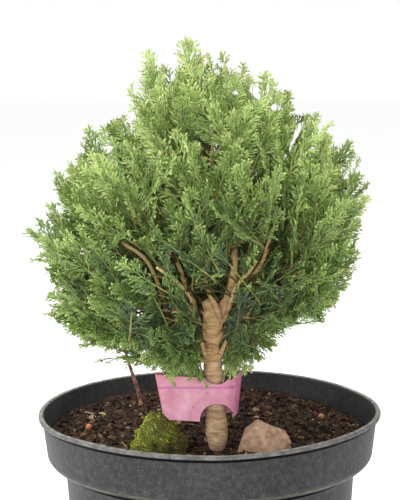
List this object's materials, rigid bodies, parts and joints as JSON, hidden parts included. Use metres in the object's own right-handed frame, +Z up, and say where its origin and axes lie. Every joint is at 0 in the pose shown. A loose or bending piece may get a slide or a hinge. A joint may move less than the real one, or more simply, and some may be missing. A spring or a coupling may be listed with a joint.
{
  "type": "potted lawson cypress",
  "caption": "Young globe-shaped conifer with flat fan sprays, on a short trunk with fanning boughs, in a round nursery pot of soil.",
  "frame": {"origin": "centre of the pot's flat underside, where it stands", "axes": "+Z up, -Y the front, +X to the right seen from the front"},
  "size_m": [0.1875, 0.2094, 0.3482],
  "materials": {
    "pot_plastic": "charcoal moulded plastic, dusty, with a pale worn lip",
    "soil": "dark moist potting soil with bark chips",
    "stone": "rough pinkish brown stone",
    "moss": "yellow-green moss, brown at its edge",
    "dead_wood": "thin dead stem, dark brown",
    "label_plastic": "pink plastic, slightly worn, plain",
    "bark": "tan to olive bark with fine cross rings",
    "foliage": "scale-leaved green sprays, yellower and tan-tipped above"
  },
  "bodies": {
    "root": {"pot": "pot_plastic", "soil": "soil", "stone": "stone", "moss_cushion": "moss", "dead_stem": "dead_wood", "label": "label_plastic", "trunk": "bark", "bough_top": "bark", "bough_upper_1": "bark", "bough_upper_2": "bark", "bough_upper_3": "bark", "bough_upper_4": "bark", "bough_upper_5": "bark", "bough_middle_1": "bark", "bough_middle_2": "bark", "bough_middle_3": "bark", "bough_middle_4": "bark", "bough_middle_5": "bark", "bough_middle_6": "bark", "bough_middle_7": "bark", "bough_lower_1": "bark", "bough_lower_2": "bark", "bough_lower_3": "bark", "bough_lower_4": "bark", "bough_lower_5": "bark", "bough_lower_6": "bark", "bough_skirt_1": "bark", "bough_skirt_2": "bark", "bough_skirt_3": "bark", "bough_skirt_4": "bark", "bough_skirt_5": "bark", "foliage_top": "foliage", "foliage_upper_1": "foliage", "foliage_upper_2": "foliage", "foliage_upper_3": "foliage", "foliage_upper_4": "foliage", "foliage_upper_5": "foliage", "foliage_middle_1": "foliage", "foliage_middle_2": "foliage", "foliage_middle_3": "foliage", "foliage_middle_4": "foliage", "foliage_middle_5": "foliage", "foliage_middle_6": "foliage", "foliage_middle_7": "foliage", "foliage_lower_1": "foliage", "foliage_lower_2": "foliage", "foliage_lower_3": "foliage", "foliage_lower_4": "foliage", "foliage_lower_5": "foliage", "foliage_lower_6": "foliage", "foliage_skirt_1": "foliage", "foliage_skirt_2": "foliage", "foliage_skirt_3": "foliage", "foliage_skirt_4": "foliage", "foliage_skirt_5": "foliage"}
  },
  "joints": []
}
